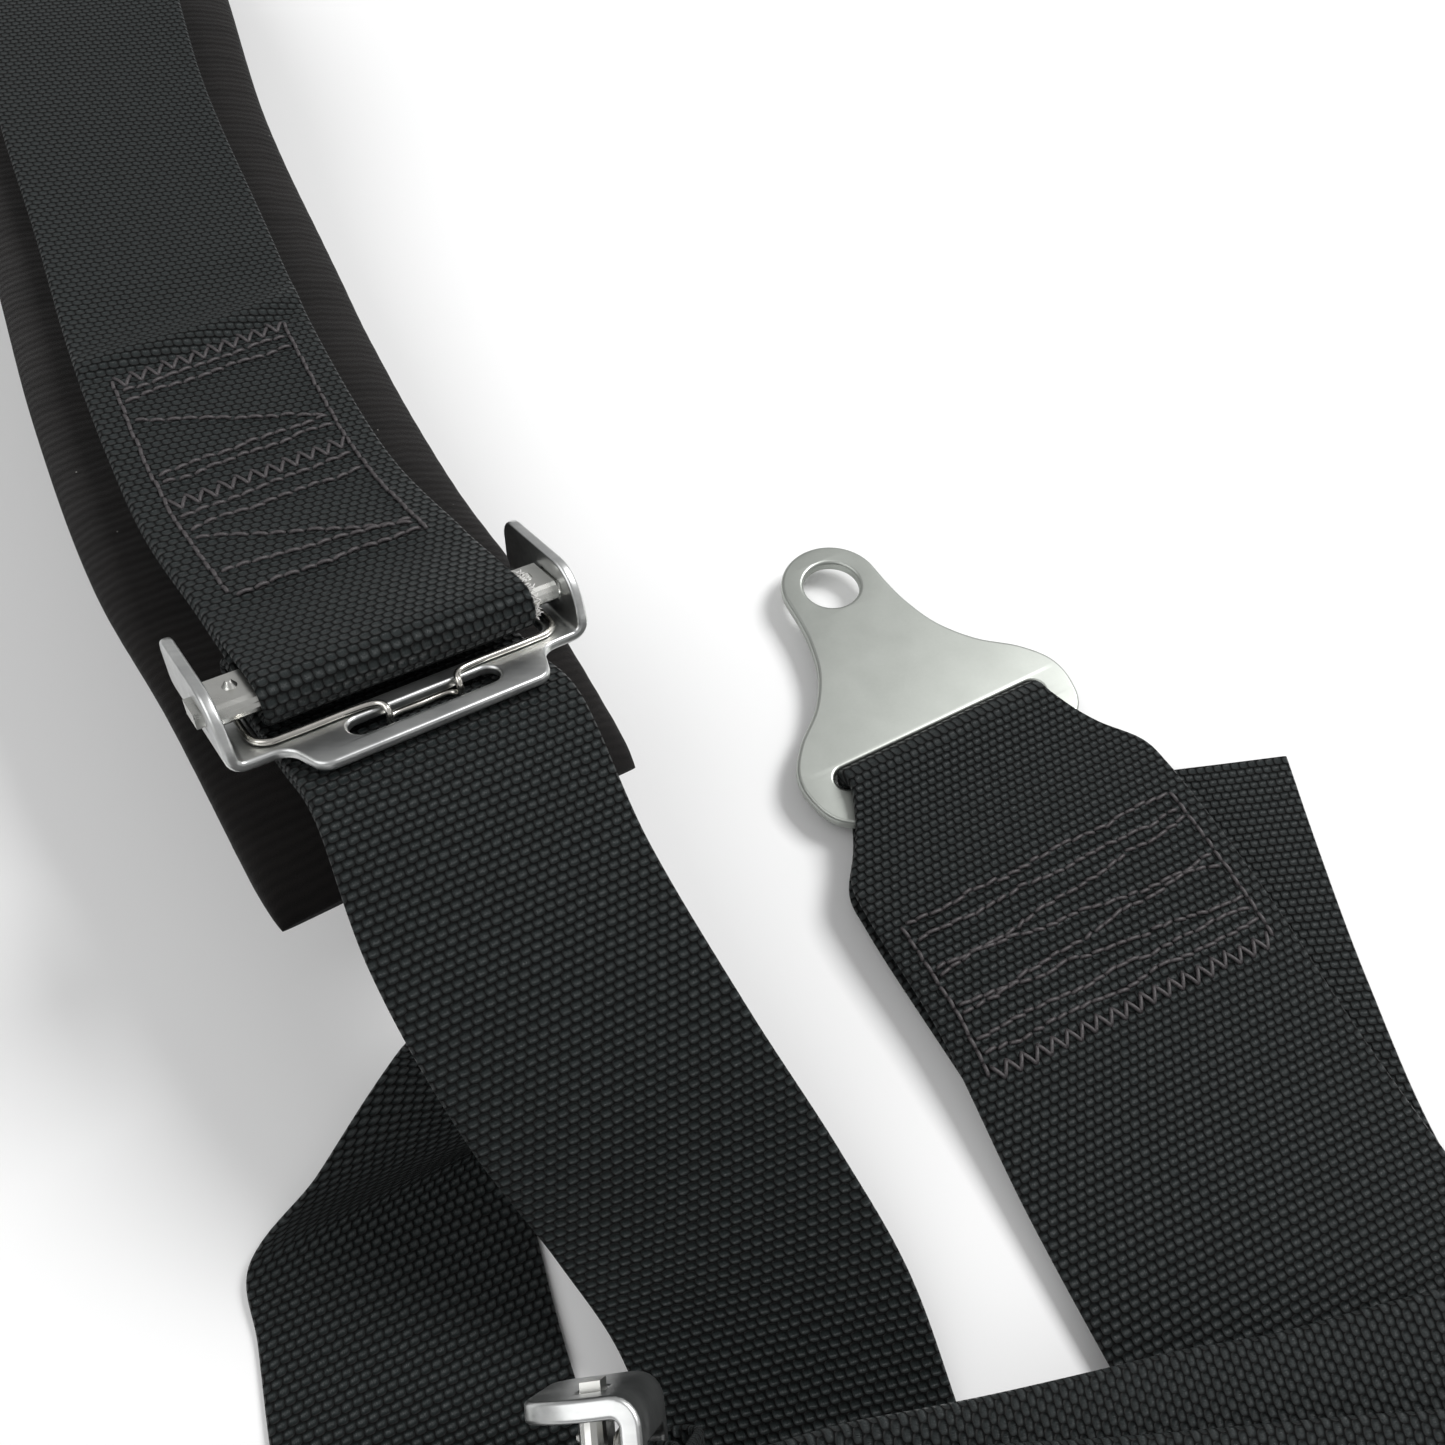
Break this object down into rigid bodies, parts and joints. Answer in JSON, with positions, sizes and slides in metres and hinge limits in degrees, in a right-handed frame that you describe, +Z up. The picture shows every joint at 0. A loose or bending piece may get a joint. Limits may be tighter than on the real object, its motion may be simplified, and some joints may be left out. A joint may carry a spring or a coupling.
{
  "type": "racing harness",
  "caption": "Unbuckled racing harness of padded shoulder belts and wide lap belts with sheet-metal slide adjusters, bolt-in anchor plates, slotted tongues and a lever latch, lying loose",
  "frame": {"origin": "centre of the right lap plate's bolt hole, on the plate's underside", "axes": "+Z up from the surface that the harness lies on and along the bolt hole; +Y from the lap belts towards the shoulder anchors; +X towards the left lap anchor"},
  "size_m": [0.8506, 0.8664, 0.0779],
  "materials": {
    "webbing": "black block-weave polyester webbing",
    "pad_fabric": "warm black brushed knit over foam",
    "zinc_sheet": "satin zinc-plated pressed sheet",
    "zinc_bar": "zinc plate worn bright along the front",
    "spring_wire": "drawn spring wire",
    "plate_steel": "satin grey-green plated plate with bright rounded edges",
    "polished_steel": "satin plated"
  },
  "bodies": {
    "webbing": {"right_shoulder_upper_strap": "webbing", "right_shoulder_pad": "pad_fabric", "right_shoulder_lower_strap": "webbing", "left_shoulder_upper_strap": "webbing", "left_shoulder_pad": "pad_fabric", "left_shoulder_lower_strap": "webbing", "right_lap_strap": "webbing", "right_lap_inner_strap": "webbing", "left_lap_strap": "webbing", "left_lap_inner_strap": "webbing", "latch_base": "plate_steel", "latch_pin": "polished_steel", "latch_spring": "spring_wire"},
    "right_shoulder_anchor_body": {"right_shoulder_anchor": "plate_steel", "right_shoulder_anchor_loop": "webbing"},
    "right_shoulder_tongue_body": {"right_shoulder_tongue": "plate_steel", "right_shoulder_tongue_loop": "webbing"},
    "right_shoulder_bar_body": {"right_shoulder_adjuster_bar": "zinc_bar"},
    "right_shoulder_frame_body": {"right_shoulder_adjuster_frame": "zinc_sheet", "right_shoulder_adjuster_spring": "spring_wire"},
    "left_shoulder_anchor_body": {"left_shoulder_anchor": "plate_steel", "left_shoulder_anchor_loop": "webbing"},
    "left_shoulder_tongue_body": {"left_shoulder_tongue": "plate_steel", "left_shoulder_tongue_loop": "webbing"},
    "left_shoulder_bar_body": {"left_shoulder_adjuster_bar": "zinc_bar"},
    "left_shoulder_frame_body": {"left_shoulder_adjuster_frame": "zinc_sheet", "left_shoulder_adjuster_spring": "spring_wire"},
    "right_lap_anchor_body": {"right_lap_anchor": "plate_steel", "right_lap_anchor_loop": "webbing"},
    "right_lap_bar_body": {"right_lap_adjuster_bar": "zinc_bar"},
    "right_lap_frame_body": {"right_lap_adjuster_frame": "zinc_sheet", "right_lap_adjuster_spring": "spring_wire"},
    "left_lap_anchor_body": {"left_lap_anchor": "plate_steel", "left_lap_anchor_loop": "webbing"},
    "left_lap_bar_body": {"left_lap_adjuster_bar": "zinc_bar"},
    "left_lap_frame_body": {"left_lap_adjuster_frame": "zinc_sheet", "left_lap_adjuster_spring": "spring_wire"},
    "right_lap_tongue_body": {"right_lap_tongue": "plate_steel", "right_lap_tongue_loop": "webbing"},
    "latch_lever_body": {"latch_lever": "polished_steel"}
  },
  "joints": [
    {"name": "right_shoulder_anchor_hinge", "type": "hinge", "parent": "webbing", "child": "right_shoulder_anchor_body", "pos_m": [-0.28635, 0.37042, 0.0034], "axis": [0.9063, 0.4226, 0], "range_deg": [0, 60]},
    {"name": "right_shoulder_tongue_hinge", "type": "hinge", "parent": "webbing", "child": "right_shoulder_tongue_body", "pos_m": [0.01103, -0.26893, 0.0034], "axis": [-0.9703, -0.2419, 0], "range_deg": [0, 60]},
    {"name": "right_shoulder_adjuster_tilt", "type": "hinge", "parent": "webbing", "child": "right_shoulder_bar_body", "pos_m": [-0.0835, -0.06, 0.061], "axis": [-0.8054, -0.564, 0.1822], "range_deg": [0, 8]},
    {"name": "right_shoulder_bar_slide", "type": "slide", "parent": "right_shoulder_bar_body", "child": "right_shoulder_frame_body", "axis": [-0.5927, 0.7695, -0.2379], "range_m": [0, 0.001]},
    {"name": "left_shoulder_anchor_hinge", "type": "hinge", "parent": "webbing", "child": "left_shoulder_anchor_body", "pos_m": [-0.52135, 0.37042, 0.0034], "axis": [0.9063, 0.4226, 0], "range_deg": [0, 60]},
    {"name": "left_shoulder_tongue_hinge", "type": "hinge", "parent": "webbing", "child": "left_shoulder_tongue_body", "pos_m": [-0.22397, -0.26893, 0.0034], "axis": [-0.9703, -0.2419, 0], "range_deg": [0, 60]},
    {"name": "left_shoulder_adjuster_tilt", "type": "hinge", "parent": "webbing", "child": "left_shoulder_bar_body", "pos_m": [-0.3185, -0.06, 0.061], "axis": [-0.8054, -0.564, 0.1822], "range_deg": [0, 8]},
    {"name": "left_shoulder_bar_slide", "type": "slide", "parent": "left_shoulder_bar_body", "child": "left_shoulder_frame_body", "axis": [-0.5927, 0.7695, -0.2379], "range_m": [0, 0.001]},
    {"name": "right_lap_anchor_hinge", "type": "hinge", "parent": "webbing", "child": "right_lap_anchor_body", "pos_m": [0.03293, -0.06194, 0.0054], "axis": [0.8829, 0.4695, 0], "range_deg": [0, 60]},
    {"name": "right_lap_adjuster_tilt", "type": "hinge", "parent": "webbing", "child": "right_lap_bar_body", "pos_m": [0.137, -0.287, 0.0096], "axis": [0.9026, 0.4305, 0], "range_deg": [0, 8]},
    {"name": "right_lap_bar_slide", "type": "slide", "parent": "right_lap_bar_body", "child": "right_lap_frame_body", "axis": [0.4305, -0.9026, 0], "range_m": [0, 0.001]},
    {"name": "left_lap_anchor_hinge", "type": "hinge", "parent": "webbing", "child": "left_lap_anchor_body", "pos_m": [0.20537, -0.19855, 0.0034], "axis": [0.1219, -0.9925, 0], "range_deg": [0, 60]},
    {"name": "left_lap_adjuster_tilt", "type": "hinge", "parent": "webbing", "child": "left_lap_bar_body", "pos_m": [-0.0385, -0.2175, 0.024], "axis": [0.1279, -0.9715, -0.1994], "range_deg": [0, 8]},
    {"name": "left_lap_bar_slide", "type": "slide", "parent": "left_lap_bar_body", "child": "left_lap_frame_body", "axis": [0.0864, 0.2112, -0.9736], "range_m": [0, 0.001]},
    {"name": "right_lap_tongue_hinge", "type": "hinge", "parent": "webbing", "child": "right_lap_tongue_body", "pos_m": [0.1598, -0.33568, 0.0034], "axis": [-0.9026, -0.4305, 0], "range_deg": [0, 60]},
    {"name": "latch_lever_hinge", "type": "hinge", "parent": "webbing", "child": "latch_lever_body", "pos_m": [-0.19, -0.219, 0.009], "axis": [0, -1, 0], "range_deg": [0, 100]}
  ]
}
